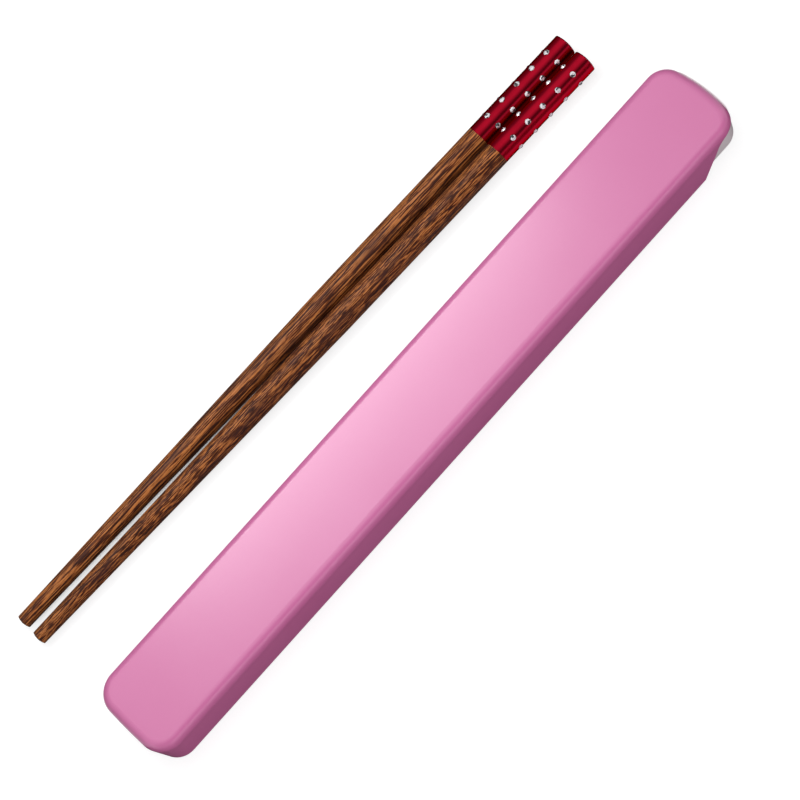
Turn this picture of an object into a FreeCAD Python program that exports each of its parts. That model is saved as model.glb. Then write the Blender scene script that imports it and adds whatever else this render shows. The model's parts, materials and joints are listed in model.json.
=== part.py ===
import FreeCAD
import Part
import math
import os

import Sketcher

# A sliding case for one pair of chopsticks, closed, with its pair lying beside it.
# +X runs along the case to the open end, where the tray is pushed out, -Y is the near
# side and +Z is up. The origin is on the table, under the middle of the case.

# Driving sizes in millimetres and degrees: alias, value, what it sets.
SIZES = [
    ("lid_length", 242.0, "lid from end to end where it is largest"),
    ("lid_width", 30.1, "lid from side to side where it is largest"),
    ("lid_height", 14.8, "lid from its lower edge to its top"),
    ("lid_lift", 0.4, "lid's lower edge above the table"),
    ("lid_wall", 1.3, "thickness of the lid's walls"),
    ("lid_top", 1.6, "thickness of the lid's top plate"),
    ("lid_lean", 1.1, "how far each wall leans in from the edge rounding to the foot"),
    ("lid_edge_round", 2.9, "rounding along the lid's top edge"),
    ("lid_hollow_round", 1.0, "rounding inside, between the top plate and the walls"),
    ("corner_closed", 7.8, "plan radius of the two corners at the closed end"),
    ("corner_open", 6.9, "plan radius of the two corners at the open end"),
    ("bow_closed", 215.0, "radius of the slight bow of the closed end"),
    ("bow_open", 57.0, "radius of the bow of the open end"),
    ("cut_foot", 18.2, "open end to where the side cut starts at the lid's foot"),
    ("cut_knee", 10.1, "open end to the knee of the side cut"),
    ("cut_knee_height", 10.0, "knee of the side cut above the lid's foot"),
    ("cut_end", 5.0, "open end to where the side cut meets the lip"),
    ("slide_gap", 0.3, "running gap between lid and tray"),
    ("rail_height", 1.0, "height of the lid's lower rails"),
    ("rail_depth", 0.8, "how far the lower rails stand out of the lid's wall"),
    ("rail_end", 17.0, "open end to the end of the lower rails"),
    ("guide_width", 1.6, "width of the upper rails, under the top plate"),
    ("flange_height", 1.8, "height of the tray's rim flange over its groove"),
    ("tray_wall", 1.4, "tray wall left behind the groove"),
    ("tray_floor", 1.6, "thickness of the tray's floor"),
    ("tray_end_closed", 1.6, "tray's end wall inside the lid's closed end"),
    ("tray_end_open", 2.4, "tray's end wall in view, where it is pushed"),
    ("tray_nose", 0.5, "how far the tray's open end stands out beyond the lid"),
    ("tray_corner", 6.7, "plan radius of the two corners of the tray's open end"),
    ("tray_foot_round", 2.4, "rounding along the tray's lower edge"),
    ("hollow_corner", 5.0, "plan radius of the tray hollow's corners"),
    ("hollow_round", 1.5, "rounding between the tray's floor and walls"),
    ("click_radius", 1.2, "radius of the click bumps on the upper rails"),
    ("click_height", 0.15, "how far the click bumps stand out"),
    ("click_place", 100.0, "click bumps from the middle of the case"),
    ("stick_length", 231.0, "chopstick from end to end"),
    ("stick_radius", 3.7, "radius of the thick end and the sleeve"),
    ("tip_radius", 2.3, "radius at the thin end"),
    ("barrel_length", 105.6, "straight part of the chopstick from its thick end"),
    ("tip_dome", 0.55, "crown of the thin end"),
    ("tip_round", 0.25, "rounding round the thin end"),
    ("sleeve_length", 37.6, "metal sleeve from its end to the wood"),
    ("sleeve_wall", 0.8, "thickness of the sleeve's wall"),
    ("sleeve_cap", 1.4, "thickness of the sleeve's closed end"),
    ("sleeve_dome", 0.6, "crown of the sleeve's closed end"),
    ("sleeve_round", 0.4, "rounding round the sleeve's closed end"),
    ("glue_gap", 0.05, "gap between the wooden tenon and the sleeve"),
    ("stone_radius", 0.9, "radius of a set stone"),
    ("stone_height", 0.35, "how far a stone stands out of the sleeve"),
    ("stone_slope", 48.0, "slope of a stone's facets from upright"),
    ("seat_depth", 0.3, "depth of a stone's seat"),
    ("seat_gap", 0.02, "gap round a stone in its seat"),
    ("stone_first", 6.55, "first stone from the end of the sleeve"),
    ("stone_pitch", 6.28, "from one stone of a row to the next"),
    ("stick_a_x", 109.1, "far chopstick's thick end along X"),
    ("stick_a_y", 46.87, "far chopstick's thick end along Y"),
    ("stick_a_yaw", -1.356, "far chopstick's turn in plan"),
    ("stick_a_turn", 58.4, "far chopstick's turn about its own axis"),
    ("stick_b_x", 108.85, "near chopstick's thick end along X"),
    ("stick_b_y", 38.32, "near chopstick's thick end along Y"),
    ("stick_b_yaw", -1.715, "near chopstick's turn in plan"),
    ("stick_b_turn", 29.7, "near chopstick's turn about its own axis"),
]
STONE_ROWS = 5
STONES_IN_ROW = 5
STONE_SIDES = 12

# Sizes worked out from the driving ones: name, expression, what it is.
DERIVED = [
    ("wall_slope", "sizes.lid_lean / (sizes.lid_height - sizes.lid_edge_round)",
     "lean of the lid's walls for each millimetre of height"),
    ("lid_top_level", "sizes.lid_lift + sizes.lid_height", "top of the lid"),
    ("ceiling_level", "derived.lid_top_level - sizes.lid_top", "under the top plate"),
    ("lip_level", "derived.lid_top_level - sizes.lid_edge_round", "under the open end's lip"),
    ("cut_rise", "derived.lip_level - sizes.lid_lift - sizes.cut_knee_height",
     "knee of the side cut below the lip"),
    ("cut_round", "((sizes.cut_knee - sizes.cut_end)^2 + derived.cut_rise^2)"
     " / (2 * derived.cut_rise)", "radius of the side cut from its knee up to a level end"),
    ("rim_level", "derived.lip_level - sizes.slide_gap", "top of the tray"),
    ("groove_top", "derived.rim_level - sizes.flange_height", "top of the tray's groove"),
    ("rail_top", "derived.groove_top - sizes.slide_gap", "top of the lower rails"),
    ("rail_foot", "derived.rail_top - sizes.rail_height", "underside of the lower rails"),
    ("groove_foot", "derived.rail_foot - sizes.slide_gap", "foot of the tray's groove"),
    ("table_inset", "sizes.lid_lean + derived.wall_slope * sizes.lid_lift",
     "inset of the leaning outline at the table"),
    ("running_inset", "sizes.lid_wall + sizes.slide_gap", "lid's outside to the tray's outside"),
    ("rail_face", "sizes.lid_width / 2 - sizes.lid_wall - sizes.rail_depth"
     " - derived.wall_slope * (derived.lip_level - derived.rail_foot)",
     "lower rail's inner face from the middle"),
    ("guide_face", "sizes.lid_width / 2 - sizes.lid_wall - sizes.guide_width",
     "upper rail's inner face from the middle"),
    ("groove_face", "derived.rail_face - sizes.slide_gap", "tray's groove from the middle"),
    ("hollow_half", "derived.groove_face - sizes.tray_wall", "half the width of the tray's hollow"),
    ("tray_closed_x", "-sizes.lid_length / 2 + derived.running_inset + derived.table_inset",
     "foot of the tray's closed end"),
    ("tray_open_x", "sizes.lid_length / 2 + sizes.tray_nose - derived.table_inset",
     "foot of the tray's open end"),
    ("bore_radius", "sizes.stick_radius - sizes.sleeve_wall", "bore of the sleeve"),
    ("tenon_radius", "derived.bore_radius - sizes.glue_gap", "wooden tenon in the sleeve"),
    ("tenon_end", "sizes.sleeve_cap + sizes.glue_gap", "thick end to the tenon's end"),
    ("seat_level", "sizes.stick_radius - sizes.seat_depth", "stone seat's floor from the axis"),
    ("stone_face", "sizes.stone_radius - sizes.stone_height * tan(sizes.stone_slope)",
     "radius of a stone's flat top"),
]

CUT_PAST = 5.0          # how far a cut runs past what it cuts
TABLE_GAP = 0.02        # stones above the table, so that nothing starts inside it
LEVEL_TOLERANCE = 1e-6


class Model:
    """The document, its sheet of sizes and the sizes worked out from them."""

    def __init__(self):
        self.doc = FreeCAD.newDocument("chopstick_case")
        self.sheet = self.doc.addObject("Spreadsheet::Sheet", "sizes")
        for row, (alias, value, meaning) in enumerate(SIZES, start=1):
            self.sheet.set(f"A{row}", meaning)
            self.sheet.set(f"B{row}", str(value))
            self.sheet.setAlias(f"B{row}", alias)
        self.doc.recompute()
        self.derived = self.doc.addObject("App::VarSet", "derived")
        for name, expression, meaning in DERIVED + rest_sizes("a") + rest_sizes("b"):
            self.derived.addProperty("App::PropertyFloat", name, "Derived", meaning)
            self.derived.setExpression(name, expression)
        self.reader = self.doc.addObject("App::VarSet", "reader")
        self.reader.addProperty("App::PropertyFloat", "value", "Reader", "last value read")
        self.doc.recompute()
        self.parts = []

    def number(self, expression):
        """The value of an expression over the two lists of sizes."""
        self.reader.setExpression("value", expression)
        self.reader.recompute()
        return self.reader.value

    def body(self, name):
        body = self.doc.addObject("PartDesign::Body", name)
        body.Label = name
        self.parts.append(body)
        return body


def origin_item(body, role):
    """One of a body's own origin planes or axes."""
    return next(item for item in body.Origin.OriginFeatures if item.Role == role)


def sketch_on(model, body, name, role, level="0"):
    """An empty sketch on one of the body's planes, lifted off it by a level."""
    sketch = body.newObject("Sketcher::SketchObject", name)
    sketch.AttachmentSupport = [(origin_item(body, role), "")]
    sketch.MapMode = "FlatFace"
    sketch.setExpression("AttachmentOffset.Base.z", level)
    return sketch


def bind(model, sketch, name, kind, places, expression):
    """A named dimension of a sketch, driven by an expression."""
    index = sketch.addConstraint(Sketcher.Constraint(kind, *places, model.number(expression)))
    sketch.renameConstraint(index, name)
    sketch.setExpression(f"Constraints.{name}", expression)


def outline_sketch(model, body, name, role, corners, arcs=None, level="0"):
    """A closed outline through corners; arcs maps a side's number to its radius."""
    arcs = arcs or {}
    sketch = sketch_on(model, body, name, role, level)
    points = [FreeCAD.Vector(model.number(x), model.number(y), 0) for x, y in corners]
    count = len(points)
    for side in range(count):
        start, end = points[side], points[(side + 1) % count]
        if side in arcs:
            sketch.addGeometry(bulging_arc(start, end, model.number(arcs[side])))
        else:
            sketch.addGeometry(Part.LineSegment(start, end))
    for side in range(count):
        sketch.addConstraint(Sketcher.Constraint("Coincident", side, 2, (side + 1) % count, 1))
    for side, (x, y) in enumerate(corners):
        bind(model, sketch, f"x{side}", "DistanceX", (side, 1), x)
        bind(model, sketch, f"y{side}", "DistanceY", (side, 1), y)
    for side, radius in arcs.items():
        bind(model, sketch, f"radius{side}", "Radius", (side,), radius)
    return sketch


def bulging_arc(start, end, radius):
    """The short arc from start to end that turns anticlockwise."""
    chord = end - start
    middle = (start + end) / 2
    offset = math.sqrt(radius ** 2 - (chord.Length / 2) ** 2)
    left = FreeCAD.Vector(-chord.y, chord.x, 0).normalize()
    centre = middle + left * offset
    first = math.atan2(start.y - centre.y, start.x - centre.x)
    last = math.atan2(end.y - centre.y, end.x - centre.x)
    return Part.ArcOfCircle(Part.Circle(centre, FreeCAD.Vector(0, 0, 1), radius), first, last)


def plan_sketch(model, body, name, level, plan):
    """The case's plan outline: two straight sides, round corners and two bowed ends."""
    sketch = sketch_on(model, body, name, "XY_Plane", level)
    value = {key: model.number(expression) for key, expression in plan.items()}
    half = value["half_width"]
    ends = {}
    for end in ("closed", "open"):
        corner, bow = value[f"corner_{end}"], value[f"bow_{end}"]
        swing = math.asin((half - corner) / (bow - corner))
        side = 1 if end == "open" else -1
        bow_centre = value[f"x_{end}"] - side * bow
        ends[end] = (bow_centre, bow_centre + side * (bow - corner) * math.cos(swing), swing)
    open_centre, open_corner, open_swing = ends["open"]
    closed_centre, closed_corner, closed_swing = ends["closed"]

    def arc(x, y, radius, first, last):
        circle = Part.Circle(FreeCAD.Vector(x, y, 0), FreeCAD.Vector(0, 0, 1), radius)
        sketch.addGeometry(Part.ArcOfCircle(circle, first, last))

    def side_line(first_x, last_x, y):
        sketch.addGeometry(Part.LineSegment(FreeCAD.Vector(first_x, y, 0),
                                            FreeCAD.Vector(last_x, y, 0)))

    quarter = math.pi / 2
    side_line(closed_corner, open_corner, -half)
    arc(open_corner, value["corner_open"] - half, value["corner_open"], -quarter, -open_swing)
    arc(open_centre, 0, value["bow_open"], -open_swing, open_swing)
    arc(open_corner, half - value["corner_open"], value["corner_open"], open_swing, quarter)
    side_line(open_corner, closed_corner, half)
    arc(closed_corner, half - value["corner_closed"], value["corner_closed"],
        quarter, math.pi - closed_swing)
    arc(closed_centre, 0, value["bow_closed"], math.pi - closed_swing, math.pi + closed_swing)
    arc(closed_corner, value["corner_closed"] - half, value["corner_closed"],
        math.pi + closed_swing, 3 * quarter)
    near, far = 0, 4
    pieces = 8
    for piece in range(pieces):
        sketch.addConstraint(Sketcher.Constraint("Tangent", piece, 2, (piece + 1) % pieces, 1))
    for line in (near, far):
        sketch.addConstraint(Sketcher.Constraint("Horizontal", line))
    for corner, key in ((1, "corner_open"), (3, "corner_open"), (5, "corner_closed"),
                        (7, "corner_closed"), (2, "bow_open"), (6, "bow_closed")):
        bind(model, sketch, f"radius{corner}", "Radius", (corner,), plan[key])
    bind(model, sketch, "far_side", "DistanceY", (far, 1), plan["half_width"])
    bind(model, sketch, "near_side", "DistanceY", (near, 1), f"-({plan['half_width']})")
    for bow, end, sign in ((2, "open", "-"), (6, "closed", "+")):
        sketch.addConstraint(Sketcher.Constraint("PointOnObject", bow, 3, -1))
        bind(model, sketch, f"{end}_end", "DistanceX", (bow, 3),
             f"{plan[f'x_{end}']} {sign} ({plan[f'bow_{end}']})")
    return sketch


def lid_plan(inset):
    """The lid's outline, drawn in by an inset all round."""
    return {
        "x_closed": f"-sizes.lid_length / 2 + {inset}",
        "x_open": f"sizes.lid_length / 2 - ({inset})",
        "half_width": f"sizes.lid_width / 2 - ({inset})",
        "corner_closed": f"sizes.corner_closed - ({inset})",
        "corner_open": f"sizes.corner_open - ({inset})",
        "bow_closed": f"sizes.bow_closed - ({inset})",
        "bow_open": f"sizes.bow_open - ({inset})",
    }


def tray_plan(inset):
    """The tray's outline: inside the lid with a running gap, but longer at the open end."""
    plan = lid_plan(f"{inset} + derived.running_inset")
    plan["x_open"] = f"sizes.lid_length / 2 + sizes.tray_nose - {inset}"
    plan["corner_open"] = f"sizes.tray_corner - {inset}"
    plan["bow_open"] = f"sizes.bow_open - {inset}"
    return plan


def leaning(model, body, name, kind, outline, height):
    """A pad or pocket upwards from an outline, with walls that lean out as they rise."""
    feature = body.newObject(f"PartDesign::{kind}", name)
    feature.Profile = outline
    feature.Reversed = kind == "Pocket"
    feature.setExpression("Length", height)
    feature.setExpression("TaperAngle", "atan(derived.wall_slope)")
    model.doc.recompute()


def round_edges(model, body, name, axis, level, radius):
    """Rounds every edge of the body that lies wholly at one level of an axis."""
    place = model.number(level)
    base = body.Tip
    picked = []
    for number, edge in enumerate(base.Shape.Edges, start=1):
        ends = (edge.FirstParameter, edge.LastParameter, sum(edge.ParameterRange) / 2)
        if all(abs(getattr(edge.valueAt(end), axis) - place) < LEVEL_TOLERANCE for end in ends):
            picked.append(f"Edge{number}")
    fillet = body.newObject("PartDesign::Fillet", name)
    fillet.Base = (base, picked)
    fillet.setExpression("Radius", radius)
    model.doc.recompute()
    return fillet


def box(model, body, name, kind, low, high):
    """A block, added or cut, between two corners given as expressions."""
    block = body.newObject(f"PartDesign::{kind}", name)
    block.AttachmentSupport = [(origin_item(body, "XY_Plane"), "")]
    block.MapMode = "FlatFace"
    for axis, size, first, last in zip("xyz", ("Length", "Width", "Height"), low, high):
        block.setExpression(f"AttachmentOffset.Base.{axis}", first)
        block.setExpression(size, f"{last} - ({first})")
    model.doc.recompute()
    return block


def mirrored(model, body, name, feature, role):
    """The same feature again on the other side of one of the body's planes."""
    mirror = body.newObject("PartDesign::Mirrored", name)
    mirror.Originals = [feature]
    mirror.MirrorPlane = (origin_item(body, role), [""])
    body.Tip = mirror
    model.doc.recompute()
    return mirror


def make_lid(model):
    """The pink cover: a shell with a cut-away open end and rails inside its long walls."""
    body = model.body("lid")
    outside = plan_sketch(model, body, "lid_foot_plan", "sizes.lid_lift",
                          lid_plan("sizes.lid_lean"))
    leaning(model, body, "lid_block", "Pad", outside, "sizes.lid_height")
    inside = plan_sketch(model, body, "lid_hollow_plan", "sizes.lid_lift",
                         lid_plan("sizes.lid_lean + sizes.lid_wall"))
    leaning(model, body, "lid_hollow", "Pocket", inside, "sizes.lid_height - sizes.lid_top")
    round_edges(model, body, "lid_hollow_edge", "z", "derived.ceiling_level",
                "sizes.lid_hollow_round")
    round_edges(model, body, "lid_edge", "z", "derived.lid_top_level", "sizes.lid_edge_round")
    add_rails(model, body)
    cut_open_end(model, body)


def add_rails(model, body):
    """The rails that hold the tray's flange from above and below, and the click bumps."""
    closed_x = "-sizes.lid_length / 2 + sizes.corner_closed"
    upper = box(model, body, "upper_rail", "AdditiveBox",
                (closed_x, "derived.guide_face", "derived.lip_level"),
                ("sizes.lid_length / 2 - sizes.corner_open",
                 "derived.guide_face + sizes.guide_width + sizes.lid_wall / 2",
                 "derived.ceiling_level"))
    mirrored(model, body, "upper_rails", upper, "XZ_Plane")
    lower = box(model, body, "lower_rail", "AdditiveBox",
                (closed_x, "derived.rail_face", "derived.rail_foot"),
                ("sizes.lid_length / 2 - sizes.rail_end",
                 "derived.rail_face + sizes.rail_depth + sizes.lid_wall / 2",
                 "derived.rail_top"))
    mirrored(model, body, "lower_rails", lower, "XZ_Plane")
    bump = bar_across(model, body, "click_bump", "AdditiveCylinder", "sizes.click_radius",
                      "derived.guide_face", "sizes.guide_width")
    mirrored(model, body, "click_bumps", bump, "XZ_Plane")


def cut_open_end(model, body):
    """Cuts the side walls away on a slope and leaves only a shallow lip at the open end."""
    past_end = f"sizes.lid_length / 2 + {CUT_PAST}"
    below = f"sizes.lid_lift - {CUT_PAST}"
    foot_x = "sizes.lid_length / 2 - sizes.cut_foot"
    corners = [
        (past_end, "derived.lip_level"),
        ("sizes.lid_length / 2 - sizes.cut_end", "derived.lip_level"),
        ("sizes.lid_length / 2 - sizes.cut_knee", "sizes.lid_lift + sizes.cut_knee_height"),
        (foot_x, "sizes.lid_lift"),
        (foot_x, below),
        (past_end, below),
    ]
    outline = outline_sketch(model, body, "side_cut_outline", "XZ_Plane", corners,
                             arcs={1: "derived.cut_round"})
    cut = body.newObject("PartDesign::Pocket", "side_cut")
    cut.Profile = outline
    cut.Type = "ThroughAll"
    cut.Midplane = True
    model.doc.recompute()


def make_tray(model):
    """The pale tray: grooved outside for the rails, hollow for the chopsticks."""
    body = model.body("tray")
    outside = plan_sketch(model, body, "tray_foot_plan", "0", tray_plan("derived.table_inset"))
    leaning(model, body, "tray_block", "Pad", outside, "derived.rim_level")
    round_edges(model, body, "tray_foot_edge", "z", "0", "sizes.tray_foot_round")
    cut_hollow(model, body)
    cut_grooves(model, body)


def cut_hollow(model, body):
    """The space that holds the pair of chopsticks."""
    low_x = "derived.tray_closed_x + sizes.tray_end_closed"
    high_x = "derived.tray_open_x - sizes.tray_end_open"
    half = "derived.hollow_half"
    corner = "sizes.hollow_corner"
    corners = [
        (f"{low_x} + {corner}", f"-{half}"), (f"{high_x} - {corner}", f"-{half}"),
        (high_x, f"{corner} - {half}"), (high_x, f"{half} - {corner}"),
        (f"{high_x} - {corner}", half), (f"{low_x} + {corner}", half),
        (low_x, f"{half} - {corner}"), (low_x, f"{corner} - {half}"),
    ]
    outline = outline_sketch(model, body, "hollow_outline", "XY_Plane", corners,
                             arcs={1: corner, 3: corner, 5: corner, 7: corner},
                             level="derived.rim_level")
    hollow = body.newObject("PartDesign::Pocket", "hollow")
    hollow.Profile = outline
    hollow.setExpression("Length", "derived.rim_level - sizes.tray_floor")
    model.doc.recompute()
    round_edges(model, body, "hollow_edge", "z", "sizes.tray_floor", "sizes.hollow_round")


def cut_grooves(model, body):
    """The grooves for the lower rails, open at the closed end, and the click dimples."""
    groove = box(model, body, "groove", "SubtractiveBox",
                 (f"-sizes.lid_length / 2 - {CUT_PAST}", "derived.groove_face",
                  "derived.groove_foot"),
                 ("sizes.lid_length / 2 - sizes.rail_end + 2 * sizes.slide_gap",
                  "sizes.lid_width / 2", "derived.groove_top"))
    mirrored(model, body, "grooves", groove, "XZ_Plane")
    dimple = bar_across(model, body, "click_dimple", "SubtractiveCylinder",
                        "sizes.click_radius + sizes.slide_gap",
                        "derived.guide_face - sizes.slide_gap", "sizes.lid_width / 2")
    mirrored(model, body, "click_dimples", dimple, "XZ_Plane")


def bar_across(model, body, name, kind, radius, first_y, length):
    """A round bar, added or cut, lying along Y at the click bumps' place."""
    bar = body.newObject(f"PartDesign::{kind}", name)
    bar.AttachmentSupport = [(origin_item(body, "XZ_Plane"), "")]
    bar.MapMode = "FlatFace"
    bar.setExpression("AttachmentOffset.Base.x", "-sizes.click_place")
    bar.setExpression("AttachmentOffset.Base.y",
                      "derived.lip_level - sizes.click_height + sizes.click_radius")
    bar.setExpression("AttachmentOffset.Base.z", f"-({first_y}) - {length}")
    bar.setExpression("Radius", radius)
    bar.setExpression("Height", length)
    model.doc.recompute()
    return bar


def stick_placement(stick):
    """Where a chopstick lies: its thick end's place, its turn in plan, dip and own turn."""
    start = f"sizes.stick_{stick}"
    return (f"placement(vector({start}_x; {start}_y; derived.stick_{stick}_level);"
            f" rotation({start}_yaw; -derived.stick_{stick}_dip; {start}_turn))")


def rest_sizes(stick):
    """How a chopstick rests: on its lowest stones and on the end of its straight part."""
    step = 360 / STONE_ROWS
    last_stone = f"(sizes.stone_first + {STONES_IN_ROW - 1} * sizes.stone_pitch)"
    off_down = f"derived.stick_{stick}_off_down"
    lift = f"derived.stick_{stick}_lift"
    return [
        (f"stick_{stick}_off_down",
         f"abs(mod(180 - sizes.stick_{stick}_turn + {step / 2}; {step}) - {step / 2})",
         "lowest row of stones from straight down"),
        (f"stick_{stick}_lift",
         f"max(0; (sizes.stick_radius + sizes.stone_height) * cos({off_down})"
         f" + derived.stone_face * sin({off_down}) - sizes.stick_radius)",
         "how far the lowest row lifts the sleeve"),
        (f"stick_{stick}_dip", f"atan({lift} / (sizes.barrel_length - {last_stone}))",
         "dip of the axis towards the thin end"),
        (f"stick_{stick}_level",
         f"{TABLE_GAP} + sizes.stick_radius + {lift} * sizes.barrel_length"
         f" / (sizes.barrel_length - {last_stone})",
         "height of the thick end's middle"),
    ]


def turned(model, body, name, corners, arcs):
    """A solid of revolution about the stick's axis, from half its section."""
    outline = outline_sketch(model, body, f"{name}_section", "XY_Plane", corners, arcs)
    solid = body.newObject("PartDesign::Revolution", name)
    solid.Profile = outline
    solid.ReferenceAxis = (outline, ["H_Axis"])
    solid.Angle = 360
    model.doc.recompute()


def crown_radius(rim, height):
    """Radius of the arc that crowns an end of a given rim radius."""
    return f"({rim} * {rim} + {height} * {height}) / (2 * {height})"


def make_shaft(model, stick):
    """The wooden shaft: tenon, straight part, taper and crowned tip."""
    body = model.body(f"shaft_{stick}")
    tip_x = "-sizes.stick_length"
    corners = [
        ("-derived.tenon_end", "0"),
        ("-derived.tenon_end", "derived.tenon_radius"),
        ("-sizes.sleeve_length", "derived.tenon_radius"),
        ("-sizes.sleeve_length", "sizes.stick_radius"),
        ("-sizes.barrel_length", "sizes.stick_radius"),
        (f"{tip_x} + sizes.tip_dome", "sizes.tip_radius"),
        (tip_x, "0"),
    ]
    turned(model, body, f"shaft_{stick}_turning", corners,
           {5: crown_radius("sizes.tip_radius", "sizes.tip_dome")})
    round_edges(model, body, f"shaft_{stick}_tip_edge", "x", f"{tip_x} + sizes.tip_dome",
                "sizes.tip_round")
    body.setExpression("Placement", stick_placement(stick))


def make_sleeve(model, stick):
    """The metal sleeve: a tube with a crowned closed end and drilled stone seats."""
    body = model.body(f"sleeve_{stick}")
    corners = [
        ("-sizes.sleeve_dome", "sizes.stick_radius"),
        ("-sizes.sleeve_length", "sizes.stick_radius"),
        ("-sizes.sleeve_length", "derived.bore_radius"),
        ("-sizes.sleeve_cap", "derived.bore_radius"),
        ("-sizes.sleeve_cap", "0"),
        ("0", "0"),
    ]
    turned(model, body, f"sleeve_{stick}_turning", corners,
           {5: crown_radius("sizes.stick_radius", "sizes.sleeve_dome")})
    round_edges(model, body, f"sleeve_{stick}_end_edge", "x", "-sizes.sleeve_dome",
                "sizes.sleeve_round")
    drill_seats(model, body, stick)
    body.setExpression("Placement", stick_placement(stick))


def drill_seats(model, body, stick):
    """One row of round stone seats, repeated round the sleeve."""
    sketch = sketch_on(model, body, f"seat_circles_{stick}", "XY_Plane", "derived.seat_level")
    for place in range(STONES_IN_ROW):
        x = f"-sizes.stone_first - {place} * sizes.stone_pitch"
        middle = FreeCAD.Vector(model.number(x), 0, 0)
        radius = "sizes.stone_radius + sizes.seat_gap"
        sketch.addGeometry(Part.Circle(middle, FreeCAD.Vector(0, 0, 1), model.number(radius)))
        sketch.addConstraint(Sketcher.Constraint("PointOnObject", place, 3, -1))
        bind(model, sketch, f"x{place}", "DistanceX", (place, 3), x)
        bind(model, sketch, f"radius{place}", "Radius", (place,), radius)
    seats = body.newObject("PartDesign::Pocket", f"seat_row_{stick}")
    seats.Profile = sketch
    seats.Reversed = True
    seats.setExpression("Length", f"sizes.seat_depth + {CUT_PAST}")
    model.doc.recompute()
    rows = body.newObject("PartDesign::PolarPattern", f"seat_rows_{stick}")
    rows.Originals = [seats]
    rows.Axis = (origin_item(body, "X_Axis"), [""])
    rows.Angle = 360
    rows.Occurrences = STONE_ROWS
    body.Tip = rows
    model.doc.recompute()


def make_stones(model, stick):
    """The stones of one sleeve: a straight foot in the seat and a faceted crown."""
    levels = [
        ("foot", "0", "sizes.stone_radius"),
        ("girdle", "sizes.seat_depth", "sizes.stone_radius"),
        ("face", "sizes.seat_depth + sizes.stone_height", "derived.stone_face"),
    ]
    rings = []
    for name, level, radius in levels:
        ring = model.doc.addObject("Part::RegularPolygon", f"stone_{name}_{stick}")
        ring.Polygon = STONE_SIDES
        ring.setExpression("Circumradius", radius)
        ring.setExpression("Placement.Base.z", level)
        rings.append(ring)
    model.doc.recompute()
    for row in range(STONE_ROWS):
        for place in range(STONES_IN_ROW):
            stone = model.doc.addObject("Part::Loft", f"stone_{stick}_{row + 1}_{place + 1}")
            stone.Label = stone.Name
            stone.Sections = rings
            stone.Solid = True
            stone.Ruled = True
            stone.setExpression("Placement", stone_placement(stick, row, place))
            model.parts.append(stone)


def stone_placement(stick, row, place):
    """A stone's seat: along the sleeve, then round it, then with the chopstick."""
    along = f"-sizes.stone_first - {place} * sizes.stone_pitch"
    return (f"sleeve_{stick}.Placement"
            f" * placement(vector(0; 0; 0); rotation(0; 0; {row * 360 / STONE_ROWS}))"
            f" * placement(vector({along}; 0; derived.seat_level); rotation(0; 0; 0))")


def check(model):
    """Stops unless every object and every sub-part is sound."""
    for item in model.doc.Objects:
        if {"Invalid", "Error"} & set(item.State):
            raise RuntimeError(f"{item.Name} failed: {item.State}")
    for part in model.parts:
        shape = part.Shape
        if shape.isNull() or not shape.isValid() or len(shape.Solids) != 1:
            raise RuntimeError(f"{part.Label} isn't one sound solid")


def main():
    model = Model()
    make_lid(model)
    make_tray(model)
    for stick in ("a", "b"):
        make_shaft(model, stick)
        make_sleeve(model, stick)
        make_stones(model, stick)
    model.doc.recompute()
    check(model)
    os.makedirs("parts", exist_ok=True)
    for part in model.parts:
        part.Shape.exportStep(f"parts/{part.Label}.step")
        print(f"{part.Label:14s} {part.Shape.Volume:10.3f} mm3")


main()
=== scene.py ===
import json
import math
from typing import NamedTuple

import bpy
from bpy.props import FloatProperty, FloatVectorProperty, IntProperty, PointerProperty
from bpy.types import Operator, Panel, PropertyGroup
from mathutils import Matrix, Vector

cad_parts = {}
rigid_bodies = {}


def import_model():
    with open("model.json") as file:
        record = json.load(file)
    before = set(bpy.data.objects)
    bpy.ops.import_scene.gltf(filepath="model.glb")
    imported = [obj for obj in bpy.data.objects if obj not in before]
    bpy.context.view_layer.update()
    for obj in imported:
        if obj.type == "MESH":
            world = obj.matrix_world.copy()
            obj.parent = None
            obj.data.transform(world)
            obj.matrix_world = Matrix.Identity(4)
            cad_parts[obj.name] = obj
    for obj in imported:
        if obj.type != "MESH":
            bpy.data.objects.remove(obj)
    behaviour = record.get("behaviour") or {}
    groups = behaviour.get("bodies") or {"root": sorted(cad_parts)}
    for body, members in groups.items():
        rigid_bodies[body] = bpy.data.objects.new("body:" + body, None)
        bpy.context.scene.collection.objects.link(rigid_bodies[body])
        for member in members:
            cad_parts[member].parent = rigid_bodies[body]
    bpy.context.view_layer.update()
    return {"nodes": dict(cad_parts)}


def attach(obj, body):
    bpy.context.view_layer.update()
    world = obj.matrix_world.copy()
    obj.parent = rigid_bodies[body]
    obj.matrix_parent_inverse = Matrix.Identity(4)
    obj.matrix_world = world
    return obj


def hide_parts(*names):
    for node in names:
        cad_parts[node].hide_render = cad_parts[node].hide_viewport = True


bl_info = {
    "name": "Chopstick case",
    "version": (1, 0, 0),
    "blender": (4, 5, 0),
    "location": "3D View > Sidebar > Chopstick case",
    "description": "Finishes a sliding chopstick case and its pair of chopsticks",
    "category": "Object",
}

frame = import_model()
STICKS = ("a", "b")
STONE_ROWS = 5
STONES_IN_ROW = 5
MM = 0.001
WHITE = (1.0, 1.0, 1.0, 1.0)


# Settings that a user would change

def colour(name, description, default):
    return FloatVectorProperty(name=name, description=description, default=default,
                               subtype="COLOR", min=0.0, max=1.0)


def length(name, description, millimetres):
    return FloatProperty(name=name, description=description, default=millimetres * MM,
                         unit="LENGTH", min=0.0, precision=5)


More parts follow.
